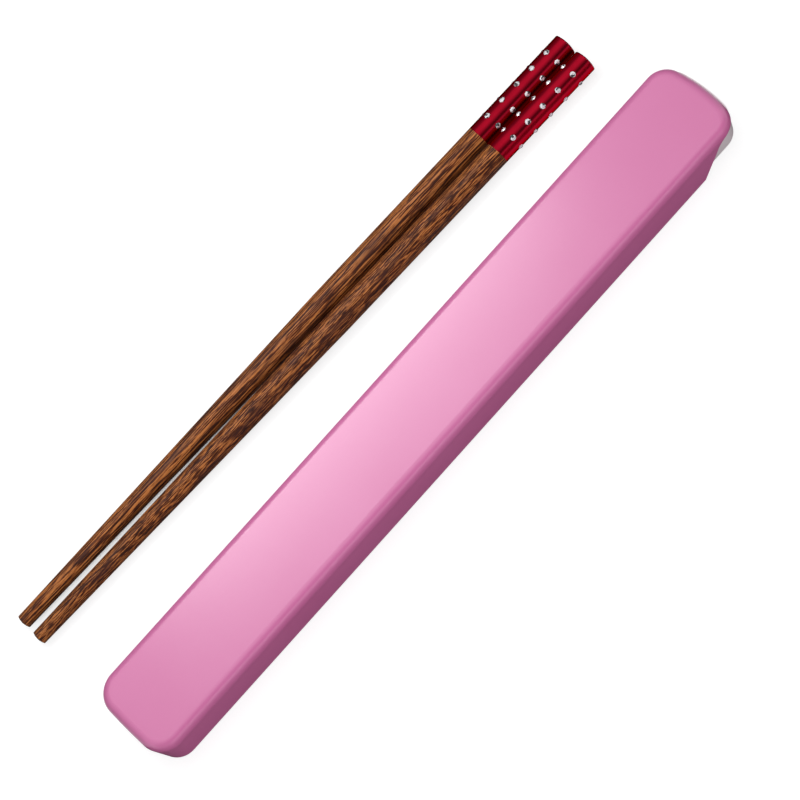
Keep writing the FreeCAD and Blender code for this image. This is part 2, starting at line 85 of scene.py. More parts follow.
class CaseFinish(PropertyGroup):
    """Colours of the case's two mouldings."""
    cover: colour("Cover", "Pink of the sliding cover", (0.595, 0.143, 0.345))
    tray: colour("Tray", "Pale plastic of the tray", (0.80, 0.70, 0.74))


class ChopstickFinish(PropertyGroup):
    """Colours and grain of the wood and the metal sleeves."""
    light: colour("Light grain", "Pale layers of the wood", (0.45, 0.155, 0.038))
    middle: colour("Middle grain", "Brown between the layers", (0.18, 0.046, 0.01))
    dark: colour("Dark grain", "Dark layers of the wood", (0.034, 0.008, 0.003))
    sleeve: colour("Sleeve", "Red of the anodised sleeves", (0.46, 0.006, 0.024))
    sleeve_edge: colour("Sleeve edge", "Worn metal round the sleeve's end", (0.45, 0.30, 0.10))
    layer_width: length("Layer width", "One pale and one dark layer together", 0.55)


class StoneSetting(PropertyGroup):
    """The stones set in the sleeves."""
    radius: length("Radius", "Girdle of a stone", 0.9)
    table: length("Table", "Flat top of a stone, from its middle", 0.46)
    foot: length("Foot", "Part of a stone that is in its seat", 0.3)
    height: length("Height", "How far a stone stands out of the sleeve", 0.35)
    first: length("First stone", "From the sleeve's closed end", 6.55)
    pitch: length("Pitch", "From stone to stone along the sleeve", 6.28)
    level: length("Seat level", "Seat's floor from the sleeve's axis", 3.4)
    facets: IntProperty(name="Facets", description="Facets round a stone's crown", default=8,
                        min=3, max=24)


class StudioSettings(PropertyGroup):
    """Light and floor."""
    strip: FloatProperty(name="Strip light", description="Power of the strip lamp close above",
                         default=0.24, min=0.0, subtype="POWER")
    top: FloatProperty(name="Top light", description="Power of the large lamp overhead",
                       default=5.8, min=0.0, subtype="POWER")
    front: FloatProperty(name="Front light", description="Power of the low lamp at the front",
                         default=2.6, min=0.0, subtype="POWER")
    fill: FloatProperty(name="Fill", description="Strength of the light from all round",
                        default=0.3, min=0.0)
    floor: colour("Floor", "Colour of the floor", (0.3, 0.3, 0.3))
    floor_glow: FloatProperty(name="Floor glow", description="Lifts the seen floor to white",
                              default=0.81, min=0.0)


# Node tree helpers

def add_node(tree, kind, inputs=None, **settings):
    """A node with settings by attribute name and input values by socket name or number."""
    node = tree.nodes.new(kind)
    for name, value in settings.items():
        setattr(node, name, value)
    for socket, value in (inputs or {}).items():
        if isinstance(value, bpy.types.NodeSocket):
            tree.links.new(value, node.inputs[socket])
        else:
            node.inputs[socket].default_value = value
    return node


def maths(tree, operation, first, second=0.0, third=0.0):
    node = add_node(tree, "ShaderNodeMath", {0: first, 1: second, 2: third}, operation=operation)
    return node.outputs[0]


def from_middle(tree, value):
    """Shifts a noise of 0 to 1 so that it swings about 0."""
    return maths(tree, "SUBTRACT", value, 0.5)


def vector_maths(tree, operation, first, second=(0.0, 0.0, 0.0)):
    node = add_node(tree, "ShaderNodeVectorMath", {0: first, 1: second}, operation=operation)
    return node.outputs["Value" if operation == "DOT_PRODUCT" else "Vector"]


def in_millimetres(tree, vector):
    return vector_maths(tree, "MULTIPLY", vector, (1.0 / MM,) * 3)


def remap(tree, value, low, high, to_low=0.0, to_high=1.0, shape="SMOOTHSTEP"):
    """Maps a value from one range to another and stops at its ends."""
    node = add_node(tree, "ShaderNodeMapRange", {0: value, 1: low, 2: high, 3: to_low, 4: to_high},
                    interpolation_type=shape)
    return node.outputs[0]


def noise(tree, vector, scale, seed, detail=2.0, distortion=0.0):
    node = add_node(tree, "ShaderNodeTexNoise",
                    {"Vector": vector, "W": seed, "Scale": scale, "Detail": detail,
                     "Distortion": distortion}, noise_dimensions="4D")
    return node.outputs[0]


def stretched_noise(tree, place, stretch, scale, seed, detail=2.0):
    """Noise with its own rate along each axis."""
    return noise(tree, vector_maths(tree, "MULTIPLY", place, stretch), scale, seed, detail)


def mixed(tree, factor, first, second):
    """Mixes two colours."""
    node = add_node(tree, "ShaderNodeMix", {0: factor, 6: first, 7: second}, data_type="RGBA")
    return node.outputs[2]


def opaque(rgb):
    return (*rgb, 1.0)


def new_group(name, inputs, outputs):
    """A shader node group with named inputs (kind, default) and named number outputs."""
    tree = bpy.data.node_groups.new(name, "ShaderNodeTree")
    for socket, (kind, default) in inputs.items():
        made = tree.interface.new_socket(socket, in_out="INPUT", socket_type=f"NodeSocket{kind}")
        if default is not None:
            made.default_value = default
    for socket in outputs:
        tree.interface.new_socket(socket, in_out="OUTPUT", socket_type="NodeSocketFloat")
    return tree, tree.nodes.new("NodeGroupInput"), tree.nodes.new("NodeGroupOutput")


def group_named(name, build):
    return bpy.data.node_groups.get(name) or build(name)


def use_group(tree, group, inputs):
    return add_node(tree, "ShaderNodeGroup", inputs, node_tree=group)


# Wood grain. A stretch is the rate along the stick and across it.

BEND_STRETCH, BEND_SCALE = (0.045, 1.0, 1.0), 0.42
FINE_BEND_STRETCH, FINE_BEND_SCALE = (0.11, 1.0, 1.0), 1.5
FIGURE_STRETCH, FIGURE_SCALE = (0.07, 0.55, 0.55), 0.9
PORE_STRETCH = (0.34, 7.5, 7.5)
STREAK_RATE_ACROSS = 3.9
BEND_REACH, FINE_BEND_REACH = 9.0, 1.6
WAVE_SHARE, STREAK_SHARE = 0.24, 2.6
DARK_LAYER, PALE_LAYER = -0.27, 0.31
PORE_START, PORE_FULL = 0.56, 0.68
LAYER_RISE = 0.5


def layered_wood(name):
    """Thin pale and dark layers that run along X, with short streaks and open pores."""
    tree, source, result = new_group(
        name,
        {"Vector": ("Vector", None), "Direction": ("Vector", (0.0, 1.0, 0.0)),
         "Layer Width": ("Float", 0.55), "Warp": ("Float", 1.0), "Streak Rate": ("Float", 0.1),
         "Seed": ("Float", 0.0)},
        ("Layers", "Figure", "Pores", "Height"))
    seed = source.outputs["Seed"]
    place = in_millimetres(tree, source.outputs["Vector"])
    bend = stretched_noise(tree, place, BEND_STRETCH, BEND_SCALE, seed, detail=3.0)
    fine_bend = stretched_noise(tree, place, FINE_BEND_STRETCH, FINE_BEND_SCALE, seed)
    across = vector_maths(tree, "DOT_PRODUCT", place, source.outputs["Direction"])
    turns = maths(tree, "DIVIDE", across, source.outputs["Layer Width"])
    warp = maths(tree, "MULTIPLY", from_middle(tree, bend),
                 maths(tree, "MULTIPLY", source.outputs["Warp"], BEND_REACH))
    waver = maths(tree, "MULTIPLY", from_middle(tree, fine_bend), FINE_BEND_REACH)
    phase = maths(tree, "ADD", maths(tree, "ADD", turns, warp), waver)
    wave = maths(tree, "SINE", maths(tree, "MULTIPLY", phase, math.tau))
    stretch = add_node(tree, "ShaderNodeCombineXYZ",
                       {0: source.outputs["Streak Rate"], 1: STREAK_RATE_ACROSS,
                        2: STREAK_RATE_ACROSS}).outputs[0]
    streaks = stretched_noise(tree, place, stretch, 1.0, seed, detail=3.0)
    streaked = maths(tree, "ADD", maths(tree, "MULTIPLY", wave, WAVE_SHARE),
                     maths(tree, "MULTIPLY", from_middle(tree, streaks), STREAK_SHARE))
    layers = remap(tree, streaked, DARK_LAYER, PALE_LAYER)
    pores = remap(tree, stretched_noise(tree, place, PORE_STRETCH, 1.0, seed, detail=1.0),
                  PORE_START, PORE_FULL)
    height = maths(tree, "SUBTRACT", maths(tree, "MULTIPLY", layers, LAYER_RISE), pores)
    values = {"Layers": layers, "Pores": pores, "Height": height,
              "Figure": stretched_noise(tree, place, FIGURE_STRETCH, FIGURE_SCALE, seed)}
    for socket, value in values.items():
        tree.links.new(value, result.inputs[socket])
    return tree


# Moulded plastic. Rates are per millimetre.

CLOUD_RATE, PEEL_RATE, PEEL_RISE = 0.05, 1.1, 0.2
HAIR_TURNS = (0.35, 1.25, 2.5)
HAIR_STRETCH, HAIR_WAVER, HAIR_WIDTH = (0.09, 3.0, 0.2), 0.4, 0.006
HAIR_SEED_STEP, PATCH_SEED_STEP = 7.3, 3.1
PATCH_RATE, PATCH_START, PATCH_FULL = 0.08, 0.4, 0.9
SPECK_RATE, SPECK_START, SPECK_FULL, SPECK_STRENGTH = 2.6, 0.76, 0.8, 0.12


def moulded_plastic(name):
    """Faint cloudiness, orange peel, hair scratches and specks of a handled moulding."""
    tree, source, result = new_group(
        name, {"Vector": ("Vector", None), "Scratches": ("Float", 1.0), "Seed": ("Float", 0.0)},
        ("Cloud", "Scratch", "Height"))
    seed = source.outputs["Seed"]
    place = in_millimetres(tree, source.outputs["Vector"])
    specks = remap(tree, noise(tree, place, SPECK_RATE, seed, detail=0.0), SPECK_START, SPECK_FULL)
    marks = maths(tree, "MULTIPLY", specks, SPECK_STRENGTH)
    for number, turn in enumerate(HAIR_TURNS):
        lay = add_node(tree, "ShaderNodeMapping", {"Vector": place, "Scale": HAIR_STRETCH,
                                                   "Rotation": (0.0, 0.0, turn)})
        hair = noise(tree, lay.outputs[0], 1.0, maths(tree, "ADD", seed, number * HAIR_SEED_STEP),
                     detail=0.0, distortion=HAIR_WAVER)
        line = remap(tree, maths(tree, "ABSOLUTE", from_middle(tree, hair)),
                     0.0, HAIR_WIDTH, 1.0, 0.0)
        patch = noise(tree, place, PATCH_RATE, maths(tree, "ADD", seed, number * PATCH_SEED_STEP),
                      detail=0.0)
        scratch = maths(tree, "MULTIPLY", line, remap(tree, patch, PATCH_START, PATCH_FULL))
        marks = maths(tree, "MAXIMUM", marks, scratch)
    peel = noise(tree, place, PEEL_RATE, seed)
    values = {"Cloud": noise(tree, place, CLOUD_RATE, seed, detail=4.0),
              "Scratch": maths(tree, "MULTIPLY", marks, source.outputs["Scratches"]),
              "Height": maths(tree, "MULTIPLY", peel, PEEL_RISE)}
    for socket, value in values.items():
        tree.links.new(value, result.inputs[socket])
    return tree


# Materials

# Nearly all of a noise lies between these two values.
NOISE_LOW, NOISE_HIGH = 0.3, 0.7


def new_material(name):
    """A material with a Principled shader: the material, its tree and the shader."""
    material = bpy.data.materials.new(name)
    material.use_nodes = True
    return material, material.node_tree, material.node_tree.nodes["Principled BSDF"]


def own_place(tree, matrix=None):
    """Object coordinates, seen from a piece's own axes where a matrix gives them."""
    place = tree.nodes.new("ShaderNodeTexCoord").outputs["Object"]
    if matrix is None:
        return place
    mapping = add_node(tree, "ShaderNodeMapping", {"Vector": place}, vector_type="TEXTURE")
    mapping.inputs["Location"].default_value = matrix.to_translation()
    mapping.inputs["Rotation"].default_value = matrix.to_euler("XYZ")
    return mapping.outputs[0]


def bumped(tree, shader, height, distance, strength, normal=None):
    bump = add_node(tree, "ShaderNodeBump", {"Strength": strength, "Distance": distance,
                                             "Height": height})
    if normal is not None:
        tree.links.new(normal, bump.inputs["Normal"])
    tree.links.new(bump.outputs[0], shader.inputs["Normal"])


class Moulding(NamedTuple):
    """How rough, glossy and scratched a moulding is."""
    roughness: float
    gloss: float
    scratches: float
    seed: float


COVER = Moulding(0.275, 1.0, 1.0, 1.0)
TRAY = Moulding(0.32, 0.5, 0.5, 4.0)
# Powers of the base colour: over 1 is deeper, under 1 is paler.
DEEPER, PALER, MARKED = 1.05, 0.96, 0.6
MARK_COLOUR_SHARE, MARK_ROUGHNESS, CLOUD_ROUGHNESS = 0.16, 0.08, 0.03
PEEL_DEPTH, PEEL_STRENGTH = 0.02 * MM, 0.6


def plastic_material(name, base, moulding):
    """Glossy moulded plastic in one colour, a little cloudy and scratched."""
    material, tree, shader = new_material(name)
    surface = use_group(tree, group_named("Moulded plastic", moulded_plastic),
                        {"Vector": own_place(tree), "Scratches": moulding.scratches,
                         "Seed": moulding.seed}).outputs
    deeper, paler, marked = (opaque(channel ** power for channel in base)
                             for power in (DEEPER, PALER, MARKED))
    body = mixed(tree, surface["Cloud"], deeper, paler)
    share = maths(tree, "MULTIPLY", surface["Scratch"], MARK_COLOUR_SHARE)
    tree.links.new(mixed(tree, share, body, marked), shader.inputs["Base Color"])
    rough = maths(tree, "ADD", moulding.roughness,
                  maths(tree, "MULTIPLY", surface["Cloud"], CLOUD_ROUGHNESS))
    worn = maths(tree, "MULTIPLY", surface["Scratch"], MARK_ROUGHNESS)
    tree.links.new(maths(tree, "ADD", rough, worn), shader.inputs["Roughness"])
    shader.inputs["Specular IOR Level"].default_value = moulding.gloss
    bumped(tree, shader, surface["Height"], PEEL_DEPTH, PEEL_STRENGTH)
    return material


class Figure(NamedTuple):
    """How the layers run in one stick, how wavy and short they are, and how dark."""
    direction: tuple
    warp: float
    streak_rate: float
    middle: float
    seed: float


FIGURES = {"a": Figure((0.0, 0.55, 0.835), 0.35, 0.09, 0.46, 1.7),
           "b": Figure((0.0, -0.35, 0.94), 1.3, 0.3, 0.68, 8.2)}
BLOTCH, BLOTCH_START, BLOTCH_FULL, BLOTCH_SHARE = (0.05, 0.015, 0.011), 0.5, 0.72, 0.75
PORE, PORE_SHARE = (0.016, 0.006, 0.005), 0.8
LACQUER_GLOSS, LACQUER_ROUGHNESS, PORE_ROUGHNESS = 0.18, 0.46, 0.3
GRAIN_DEPTH, GRAIN_STRENGTH = 0.05 * MM, 0.5


def wood_material(name, matrix, figure, finish):
    """Dark layered wood under satin lacquer."""
    material, tree, shader = new_material(name)
    grain = use_group(tree, group_named("Layered wood", layered_wood),
                      {"Vector": own_place(tree, matrix), "Direction": figure.direction,
                       "Layer Width": finish.layer_width / MM, "Warp": figure.warp,
                       "Streak Rate": figure.streak_rate, "Seed": figure.seed}).outputs
    ramp = tree.nodes.new("ShaderNodeValToRGB")
    ramp.color_ramp.elements[0].color = opaque(finish.dark)
    ramp.color_ramp.elements[1].color = opaque(finish.light)
    ramp.color_ramp.elements.new(figure.middle).color = opaque(finish.middle)
    tree.links.new(grain["Layers"], ramp.inputs[0])
    blotch = remap(tree, grain["Figure"], BLOTCH_START, BLOTCH_FULL, 0.0, BLOTCH_SHARE)
    body = mixed(tree, blotch, ramp.outputs[0], opaque(BLOTCH))
    pores = maths(tree, "MULTIPLY", grain["Pores"], PORE_SHARE)
    tree.links.new(mixed(tree, pores, body, opaque(PORE)), shader.inputs["Base Color"])
    rough = maths(tree, "MULTIPLY", grain["Pores"], PORE_ROUGHNESS)
    tree.links.new(maths(tree, "ADD", LACQUER_ROUGHNESS, rough), shader.inputs["Roughness"])
    shader.inputs["Specular IOR Level"].default_value = LACQUER_GLOSS
    bumped(tree, shader, grain["Height"], GRAIN_DEPTH, GRAIN_STRENGTH)
    return material


# Sleeves. The wall starts this far from the closed end and lies at least this far out.
WALL_START = 1.1 * MM
WALL_LEVEL = 3.64 * MM
DRAW_STRETCH, DRAW_DEPTH, DRAW_STRENGTH = (12.0, 6000.0, 6000.0), 0.0005 * MM, 0.1
DRAW_SEED, SMOOTHEST, ROUGHEST = 2.0, 0.21, 0.24
TONE_RATE, TONE_SEED, TONE_LOW, DARKER_TONE = 160.0, 5.0, 0.35, 0.86
EDGE_START, EDGE_FULL, EDGE_SHARE = -0.5 * MM, -0.15 * MM, 0.5
GLANCING_TINT = (0.8, 0.1, 0.13)


def turned_normal(tree, place, matrix):
    """The true normal of the sleeve's round wall, and the mesh's own everywhere else."""
    parts = add_node(tree, "ShaderNodeSeparateXYZ", {0: place}).outputs
    outward = vector_maths(tree, "MULTIPLY", place, (0.0, 1.0, 1.0))
    radius = maths(tree, "SQRT", maths(tree, "ADD", maths(tree, "POWER", parts[1], 2.0),
                                       maths(tree, "POWER", parts[2], 2.0)))
    on_wall = maths(tree, "MULTIPLY", maths(tree, "GREATER_THAN", radius, WALL_LEVEL),
                    maths(tree, "LESS_THAN", parts[0], -WALL_START))
    laid = add_node(tree, "ShaderNodeMapping", {"Vector": outward}, vector_type="VECTOR")
    laid.inputs["Rotation"].default_value = matrix.to_euler("XYZ")
    turned = add_node(tree, "ShaderNodeVectorTransform", {0: laid.outputs[0]},
                      vector_type="NORMAL", convert_from="OBJECT", convert_to="WORLD")
    own = tree.nodes.new("ShaderNodeNewGeometry").outputs["Normal"]
    return mixed(tree, on_wall, own, vector_maths(tree, "NORMALIZE", turned.outputs[0]))


def sleeve_material(name, matrix, finish):
    """Anodised aluminium: polished, with faint lengthwise draw lines and a worn end."""
    material, tree, shader = new_material(name)
    place = own_place(tree, matrix)
    drawn = stretched_noise(tree, place, DRAW_STRETCH, 1.0, DRAW_SEED, detail=1.0)
    patch = noise(tree, place, TONE_RATE, TONE_SEED, detail=3.0)
    tone = mixed(tree, remap(tree, patch, TONE_LOW, NOISE_HIGH), opaque(finish.sleeve),
                 opaque(channel * DARKER_TONE for channel in finish.sleeve))
    along = add_node(tree, "ShaderNodeSeparateXYZ", {0: place}).outputs[0]
    worn = remap(tree, along, EDGE_START, EDGE_FULL, 0.0, EDGE_SHARE)
    tree.links.new(mixed(tree, worn, tone, opaque(finish.sleeve_edge)),
                   shader.inputs["Base Color"])
    shader.inputs["Metallic"].default_value = 1.0
    shader.inputs["Specular Tint"].default_value = opaque(GLANCING_TINT)
    tree.links.new(remap(tree, drawn, NOISE_LOW, NOISE_HIGH, SMOOTHEST, ROUGHEST),
                   shader.inputs["Roughness"])
    bumped(tree, shader, drawn, DRAW_DEPTH, DRAW_STRENGTH, turned_normal(tree, place, matrix))
    return material


FACET_RATE, FACET_SEED = 1050.0, 3.0
# Painted reflections: the stones' base colour is a noise of bright and near-black patches that
# stand in for the light and dark their facets reflect.
PAINTED_DARK_REFLECTION, PAINTED_BRIGHT_REFLECTION = (0.05, 0.05, 0.06), (0.93, 0.93, 0.96)
PAINTED_DARK_UNDER, PAINTED_BRIGHT_OVER = 0.4, 0.45
STONE_METALLIC, STONE_SMOOTHEST, STONE_ROUGHEST, STONE_COAT = 0.4, 0.03, 0.09, 0.02


def stone_material(name, matrix):
    """Clear cut stone with a silvered back: bright, with small dark patches, which are painted
    reflections of its facets in the base colour.
    """
    material, tree, shader = new_material(name)
    facets = noise(tree, own_place(tree, matrix), FACET_RATE, FACET_SEED, detail=0.0)
    # Painted facet reflections: bright and near-black patches in the base colour.
    painted_reflection = remap(tree, facets, PAINTED_DARK_UNDER, PAINTED_BRIGHT_OVER)
    tree.links.new(mixed(tree, painted_reflection, opaque(PAINTED_DARK_REFLECTION), opaque(PAINTED_BRIGHT_REFLECTION)),
                   shader.inputs["Base Color"])
    shader.inputs["Metallic"].default_value = STONE_METALLIC
    tree.links.new(remap(tree, facets, NOISE_LOW, NOISE_HIGH, STONE_SMOOTHEST, STONE_ROUGHEST),
                   shader.inputs["Roughness"])
    shader.inputs["Coat Weight"].default_value = 1.0
    shader.inputs["Coat Roughness"].default_value = STONE_COAT
    return material


def finish_node(name, material):
    """Gives a CAD node its material."""
    mesh = frame["nodes"][name].data
    mesh.materials.clear()
    mesh.materials.append(material)


# Where the chopsticks lie

def middle(node):
    """The mean of a CAD node's points."""
    points = frame["nodes"][node].data.vertices
    return sum((point.co for point in points), Vector()) / len(points)


def stick_axes(stick, setting):
    """A chopstick's own axes: origin at its thick end, X towards that end, Z to stone row 1."""
    def axis_point(place):
        found = [middle(f"stone_{stick}_{row}_{place}") for row in range(1, STONE_ROWS + 1)]
        return sum(found, Vector()) / STONE_ROWS

    first, last = axis_point(1), axis_point(STONES_IN_ROW)
    along = (first - last).normalized()
    upwards = middle(f"stone_{stick}_1_1") - first
    upwards = (upwards - along * upwards.dot(along)).normalized()
    end = first + along * setting.first
    axes = Matrix((along, upwards.cross(along), upwards)).transposed().to_4x4()
    return Matrix.Translation(end) @ axes


# Stones

# Where the two bands of a crown meet, from its flat top's edge towards its girdle.
WAIST_SHARE = 0.62
WELD = 0.001 * MM


class StoneTree:
    """Builds the geometry nodes that set faceted stones round a sleeve."""

    SIZES = ("radius", "table", "foot", "height", "first", "pitch", "level")

    def __init__(self):
        self.tree = bpy.data.node_groups.new("Stones round a sleeve", "GeometryNodeTree")
        self.ids = {}
        for name in self.SIZES:
            self.input(name, "Float")
        for name in ("rows", "in_row", "facets"):
            self.input(name, "Int")
        self.input("place", "Vector")
        self.input("turn", "Vector")
        self.input("material", "Material")
        self.tree.interface.new_socket("Geometry", in_out="OUTPUT",
                                       socket_type="NodeSocketGeometry")
        self.source = self.tree.nodes.new("NodeGroupInput")
        self.build()

    def input(self, name, kind):
        socket = self.tree.interface.new_socket(name, in_out="INPUT",
                                                socket_type=f"NodeSocket{kind}")
        self.ids[name] = socket.identifier

    def value(self, name):
        return self.source.outputs[name]

    def node(self, kind, inputs=None, **settings):
        return add_node(self.tree, kind, inputs, **settings)

    def maths(self, operation, first, second=0.0, third=0.0):
        return maths(self.tree, operation, first, second, third)

    def raised(self, shape, level):
        lift = self.node("ShaderNodeCombineXYZ", {2: level}).outputs[0]
        return self.node("GeometryNodeTransform", {"Geometry": shape.outputs["Mesh"],
                                                   "Translation": lift}).outputs[0]

    def band(self, low, high, depth, level):
        """One band of facets between two radii, raised to its level."""
        cone = self.node("GeometryNodeMeshCone",
                         {"Vertices": self.value("facets"), "Radius Top": high,
                          "Radius Bottom": low, "Depth": depth}, fill_type="NONE")
        return self.raised(cone, level)

    def disc(self, radius, level):
        """A flat face, raised to its level."""
        circle = self.node("GeometryNodeMeshCircle", {"Vertices": self.value("facets"),
                                                      "Radius": radius}, fill_type="NGON")
        return self.raised(circle, level)

    def stone(self):
        """Foot, two bands of crown facets and a flat top, merged into one closed shape."""
        radius, table = self.value("radius"), self.value("table")
        foot, height = self.value("foot"), self.value("height")
        waist = self.maths("MULTIPLY_ADD", self.maths("SUBTRACT", radius, table), WAIST_SHARE,
                           table)
        half = self.maths("MULTIPLY", height, 0.5)
        parts = (
            self.band(radius, radius, foot, 0.0),
            self.band(radius, waist, half, foot),
            self.band(waist, table, half, self.maths("ADD", foot, half)),
            self.node("GeometryNodeFlipFaces", {0: self.disc(radius, 0.0)}).outputs[0],
            self.disc(table, self.maths("ADD", foot, height)),
        )
        joined = self.node("GeometryNodeJoinGeometry")
        for part in parts:
            self.tree.links.new(part, joined.inputs[0])
        return self.node("GeometryNodeMergeByDistance",
                         {"Geometry": joined.outputs[0], "Distance": WELD}).outputs[0]

    def build(self):
        rows, in_row = self.value("rows"), self.value("in_row")
        index = self.node("GeometryNodeInputIndex").outputs[0]
        row = self.maths("FLOOR", self.maths("DIVIDE", index, in_row))
        place = self.maths("MODULO", index, in_row)
        angle = self.maths("DIVIDE", self.maths("MULTIPLY", row, math.tau), rows)
        level = self.value("level")
        back = self.maths("MULTIPLY_ADD", place, self.value("pitch"), self.value("first"))
        near = self.maths("MULTIPLY", self.maths("SINE", angle), level)
        position = self.node("ShaderNodeCombineXYZ", {
            0: self.maths("MULTIPLY", back, -1.0), 1: self.maths("MULTIPLY", near, -1.0),
            2: self.maths("MULTIPLY", self.maths("COSINE", angle), level)}).outputs[0]
        points = self.node("GeometryNodePoints", {
            "Count": self.maths("MULTIPLY", rows, in_row), "Position": position})
        turn = self.node("ShaderNodeCombineXYZ", {0: angle}).outputs[0]
        set_stones = self.node("GeometryNodeInstanceOnPoints", {
            "Points": points.outputs[0], "Instance": self.stone(), "Rotation": turn})
        laid = self.node("GeometryNodeTransform", {
            "Geometry": set_stones.outputs[0], "Translation": self.value("place"),
            "Rotation": self.value("turn")})
        real = self.node("GeometryNodeRealizeInstances", {0: laid.outputs[0]})
        flat = self.node("GeometryNodeSetShadeSmooth", {0: real.outputs[0],
                                                        "Shade Smooth": False})
        coloured = self.node("GeometryNodeSetMaterial", {0: flat.outputs[0],
                                                         "Material": self.value("material")})
        result = self.tree.nodes.new("NodeGroupOutput")
        self.tree.links.new(coloured.outputs[0], result.inputs[0])


def evaluated_piece(name, tree, ids, values):
    """Runs a geometry tree and returns its result as a plain mesh object."""
    carrier = bpy.data.objects.new(f"{name}_carrier", bpy.data.meshes.new(f"{name}_carrier"))
    bpy.context.scene.collection.objects.link(carrier)
    modifier = carrier.modifiers.new("Build", "NODES")
    modifier.node_group = tree
    for key, value in values.items():
        modifier[ids[key]] = value
    graph = bpy.context.evaluated_depsgraph_get()
    mesh = bpy.data.meshes.new_from_object(carrier.evaluated_get(graph))
    mesh.name = name
    bpy.data.objects.remove(carrier)
    piece = bpy.data.objects.new(name, mesh)
    bpy.context.scene.collection.objects.link(piece)
    return piece


# Stage

CAMERA_RIGHT = (0.66867184, -0.67445389, -0.31303343)
CAMERA_UP = (0.74294177, 0.58889397, 0.31818457)
CAMERA_BACK = (-0.03025732, -0.44532667, 0.89485678)
CAMERA_PLACE = (-0.026958, -0.369037, 0.764819)
CAMERA_LENS = 134.5548
SENSOR_WIDTH = 36.0
NEAREST, FARTHEST = 0.05, 20.0


def make_camera():
    data = bpy.data.cameras.new("Camera")
    data.lens = CAMERA_LENS
    data.sensor_width = SENSOR_WIDTH
    data.clip_start, data.clip_end = NEAREST, FARTHEST
    camera = bpy.data.objects.new("Camera", data)
    bpy.context.scene.collection.objects.link(camera)
    axes = Matrix((CAMERA_RIGHT, CAMERA_UP, CAMERA_BACK)).transposed().to_4x4()
    camera.matrix_world = Matrix.Translation(CAMERA_PLACE) @ axes
    bpy.context.scene.camera = camera


def stage_mesh(name, points, faces, material):
    """A mesh object of the studio."""
    mesh = bpy.data.meshes.new(name)
    mesh.from_pydata(points, [], faces)
    mesh.materials.append(material)
    item = bpy.data.objects.new(name, mesh)
    bpy.context.scene.collection.objects.link(item)
    return item


def flat_piece(name, half_length, first_y, last_y, level, material):
    """A level rectangle of the studio."""
    points = [(-half_length, first_y, level), (half_length, first_y, level),
              (half_length, last_y, level), (-half_length, last_y, level)]
    return stage_mesh(name, points, [(0, 1, 2, 3)], material)


def seen_directly(tree):
    """1 for what the camera, metal and glass see, 0 for light on its way."""
    path = tree.nodes.new("ShaderNodeLightPath")
    mirrored = maths(tree, "MAXIMUM", path.outputs["Is Glossy Ray"],
                     path.outputs["Is Transmission Ray"])
    return maths(tree, "MAXIMUM", path.outputs["Is Camera Ray"], mirrored)


FLOOR_HALF, FLOOR_ROUGHNESS = 3.0, 0.9
# The floor's glow stops where less than the first share of its sky within reach is open, which
# paints shade into the crevices under and between the pieces.
CREVICE_REACH, CREVICE_DARK, CREVICE_OPEN = 12 * MM, 0.085, 0.14


def make_floor(settings):
    """A large floor that the camera sees as white, that keeps the soft shadows and that has shade
    painted into its crevices.
    """
    material, tree, shader = new_material("Floor")
    shader.inputs["Base Color"].default_value = opaque(settings.floor)
    shader.inputs["Roughness"].default_value = FLOOR_ROUGHNESS
    shader.inputs["Specular IOR Level"].default_value = 0.0
    shader.inputs["Emission Color"].default_value = WHITE
    openness = add_node(tree, "ShaderNodeAmbientOcclusion", {"Distance": CREVICE_REACH}, samples=8)
    # Painted shade: the glow fades out where the floor is closed in under and between the pieces.
    lift = remap(tree, openness.outputs["AO"], CREVICE_DARK, CREVICE_OPEN, 0.0,
                 settings.floor_glow)
    tree.links.new(maths(tree, "MULTIPLY", seen_directly(tree), lift),
                   shader.inputs["Emission Strength"])
    flat_piece("floor", FLOOR_HALF, -FLOOR_HALF, FLOOR_HALF, 0.0, material)


def make_world(settings):
    """White where the camera, metal and glass see it, and a plain even fill elsewhere."""
    world = bpy.data.worlds.new("Studio")
    world.use_nodes = True
    bpy.context.scene.world = world
    tree = world.node_tree
    background = tree.nodes["Background"]
    background.inputs["Color"].default_value = WHITE
    tree.links.new(remap(tree, seen_directly(tree), 0.0, 1.0, settings.fill, 1.0),
                   background.inputs["Strength"])


class Lamp(NamedTuple):
    """A rectangular lamp: where it is, what it faces, its size, if reflections see it."""
    place: tuple
    target: tuple
    size: tuple
    in_gloss: bool


LAMPS = {
    "strip": Lamp((-0.005, 0.14, 0.215), (-0.005, 0.02, 0.0), (0.2, 0.05), True),
    "top": Lamp((0.0, 0.13, 1.1), (0.0, 0.0, 0.0), (0.9, 0.9), False),
    "front": Lamp((0.0, -0.75, 0.3), (0.0, 0.0, 0.0), (0.8, 0.3), False),
}


def make_lamp(name, lamp, power):
    data = bpy.data.lights.new(name, "AREA")
    data.shape = "RECTANGLE"
    data.size, data.size_y = lamp.size
    data.energy = power
    item = bpy.data.objects.new(name, data)
    bpy.context.scene.collection.objects.link(item)
    item.location = lamp.place
    facing = Vector(lamp.target) - Vector(lamp.place)
    item.rotation_euler = facing.to_track_quat("-Z", "Y").to_euler()
    item.visible_glossy = lamp.in_gloss
    item.visible_camera = False
    return item


def keep_off(lamp, objects):
    """Keeps a lamp's light off some objects."""
    group = bpy.data.collections.new(f"Kept off by {lamp.name}")
    for item in objects:
        group.objects.link(item)
    lamp.light_linking.receiver_collection = group
    for member in group.collection_objects:
        member.light_linking.link_state = "EXCLUDE"


# What only reflections see

CARD_HALF, CARD_LEVEL = 2.0, 0.3 * MM
# Cards on the floor: name, where each starts and ends along Y, grey.
CARDS = (("near card", -2.0, 0.0, 0.04), ("middle card", 0.0, 0.034, 0.8),
         ("far card", 0.034, 2.0, 0.13))
